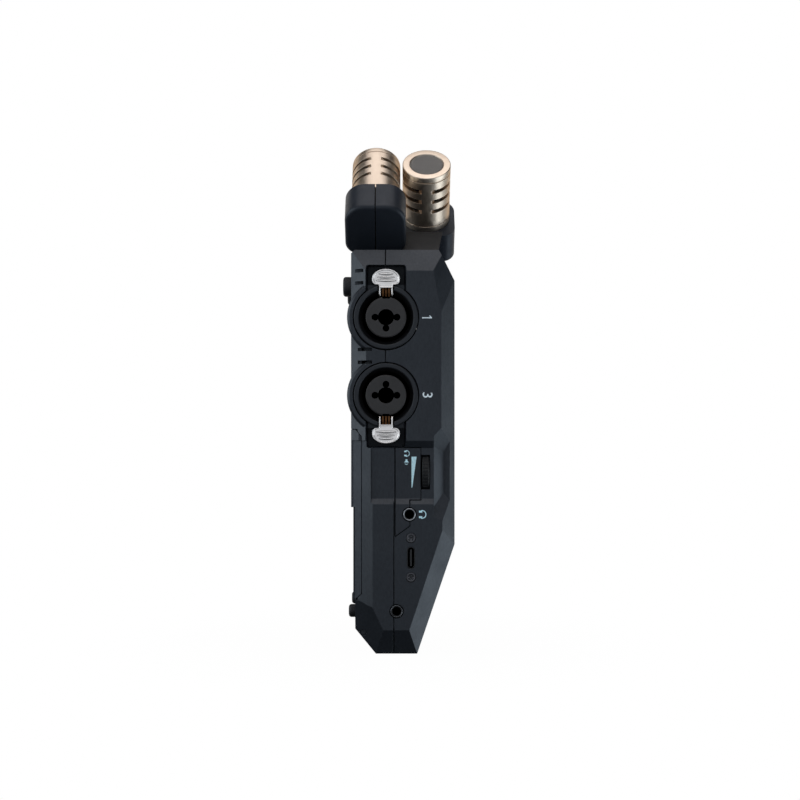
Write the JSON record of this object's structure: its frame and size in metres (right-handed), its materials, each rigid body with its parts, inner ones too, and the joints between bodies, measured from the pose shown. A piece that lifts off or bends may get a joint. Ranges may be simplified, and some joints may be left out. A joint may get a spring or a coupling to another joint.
{
  "type": "handheld voice recorder",
  "caption": "Upright handheld multitrack sound recorder with crossed microphones on top, combination input jacks in its sides, a display, transport keys and a battery door.",
  "frame": {"origin": "in the flat lower end face, mid-width, under the axes of the combination jacks", "axes": "+Z towards the microphones, -Y the display side, -X the side with inputs 1 and 3"},
  "size_m": [0.0782, 0.0474, 0.2116],
  "materials": {
    "housing": "fine moulded texture, blue-black",
    "door": "fine moulded texture, blue-black",
    "panel": "fine moulded texture, blue-black",
    "jack_black": "smooth black",
    "jack_grey": "satin black",
    "latch": "bright nickel plate, softly worn",
    "socket_metal": "dull nickel",
    "socket_black": "smooth black",
    "screw": "blackened steel",
    "wheel": "ribbed black",
    "switch": "ribbed black",
    "lens": "polished black window",
    "lcd": "dark glass",
    "board": "solder-masked board",
    "component": "moulded black",
    "key": "satin dark grey",
    "record_key": "satin red",
    "pad": "grey silicone",
    "cell": "printed sleeve, plain colour",
    "contact": "nickel-plated spring steel",
    "foot": "black rubber",
    "brass": "turned brass",
    "speaker": "black paper cone",
    "arm": "satin black",
    "base": "satin black",
    "gold": "bead-blasted champagne anodising",
    "mesh": "fine woven mesh",
    "capsule": "black"
  },
  "bodies": {
    "body": {"front_housing": "housing", "rear_housing": "housing", "volume_panel": "panel", "batteries": "cell", "battery_contacts": "contact", "rubber_feet": "foot", "display_lens": "lens", "display_module": "lcd", "main_board": "board", "io_boards": "board", "phones_jack": "socket_black", "line_out_jack": "socket_black", "external_input_jack": "socket_black", "usb_socket": "socket_black", "usb_screws": "screw", "volume_pot": "component", "power_switch_body": "component", "card_socket": "socket_metal", "button_pad": "pad", "speaker": "speaker", "tripod_insert": "brass", "housing_screws": "screw", "module_socket": "socket_black", "jack_shell_1": "jack_black", "jack_core_1": "jack_grey", "jack_shell_2": "jack_black", "jack_core_2": "jack_grey", "jack_shell_3": "jack_black", "jack_core_3": "jack_grey", "jack_shell_4": "jack_black", "jack_core_4": "jack_grey"},
    "push_latch_1": {"push_latch_1": "latch"},
    "push_latch_2": {"push_latch_2": "latch"},
    "push_latch_3": {"push_latch_3": "latch"},
    "push_latch_4": {"push_latch_4": "latch"},
    "volume_wheel": {"volume_wheel": "wheel"},
    "battery_door": {"battery_door": "door"},
    "card_door": {"card_door": "housing"},
    "power_switch": {"power_switch": "switch"},
    "rewind_button": {"rewind_button": "key"},
    "play_button": {"play_button": "key"},
    "forward_button": {"forward_button": "key"},
    "stop_button": {"stop_button": "key"},
    "mark_button": {"mark_button": "key"},
    "home_button": {"home_button": "key"},
    "record_button": {"record_button": "record_key"},
    "mic_module": {"module_base": "base", "module_plug": "socket_black", "left_arm_back": "arm", "left_arm_front": "arm", "left_mic_tube": "gold", "left_mic_cap": "gold", "left_mic_grille": "mesh", "left_mic_capsule": "capsule", "right_arm_back": "arm", "right_arm_front": "arm", "right_mic_tube": "gold", "right_mic_cap": "gold", "right_mic_grille": "mesh", "right_mic_capsule": "capsule"}
  },
  "joints": [
    {"name": "push_latch_1_press", "type": "slide", "parent": "body", "child": "push_latch_1", "axis": [1, 0, 0], "range_m": [0, 0.0015]},
    {"name": "push_latch_3_press", "type": "slide", "parent": "body", "child": "push_latch_3", "axis": [1, 0, 0], "range_m": [0, 0.0015]},
    {"name": "push_latch_2_press", "type": "slide", "parent": "body", "child": "push_latch_2", "axis": [-1, 0, 0], "range_m": [0, 0.0015]},
    {"name": "push_latch_4_press", "type": "slide", "parent": "body", "child": "push_latch_4", "axis": [-1, 0, 0], "range_m": [0, 0.0015]},
    {"name": "volume_wheel_turn", "type": "hinge", "parent": "body", "child": "volume_wheel", "pos_m": [-0.0301, -0.0161, 0.0744], "axis": [0, 1, 0], "range_deg": [-150, 150]},
    {"name": "battery_door_hinge", "type": "hinge", "parent": "body", "child": "battery_door", "pos_m": [0, 0.0143, 0.0916], "axis": [1, 0, 0], "range_deg": [0, 110]},
    {"name": "card_door_hinge", "type": "hinge", "parent": "body", "child": "card_door", "pos_m": [0.0384, -0.0056, 0.037], "axis": [0, 0, 1], "range_deg": [0, 100]},
    {"name": "power_switch_slide", "type": "slide", "parent": "body", "child": "power_switch", "axis": [0, 0, 1], "range_m": [-0.0025, 0.0025]},
    {"name": "rewind_button_press", "type": "slide", "parent": "body", "child": "rewind_button", "axis": [0, 0.9461, 0.3238], "range_m": [0, 0.0004]},
    {"name": "play_button_press", "type": "slide", "parent": "body", "child": "play_button", "axis": [0, 0.9461, 0.3238], "range_m": [0, 0.0004]},
    {"name": "forward_button_press", "type": "slide", "parent": "body", "child": "forward_button", "axis": [0, 0.9461, 0.3238], "range_m": [0, 0.0004]},
    {"name": "stop_button_press", "type": "slide", "parent": "body", "child": "stop_button", "axis": [0, 0.9461, 0.3238], "range_m": [0, 0.0004]},
    {"name": "mark_button_press", "type": "slide", "parent": "body", "child": "mark_button", "axis": [0, 0.9461, 0.3238], "range_m": [0, 0.0004]},
    {"name": "home_button_press", "type": "slide", "parent": "body", "child": "home_button", "axis": [0, 0.9461, 0.3238], "range_m": [0, 0.0004]},
    {"name": "record_button_press", "type": "slide", "parent": "body", "child": "record_button", "axis": [0, 0.9461, 0.3238], "range_m": [0, 0.0004]},
    {"name": "mic_module_lift", "type": "slide", "parent": "body", "child": "mic_module", "axis": [0, 0, 1], "range_m": [0, 0.009]}
  ]
}
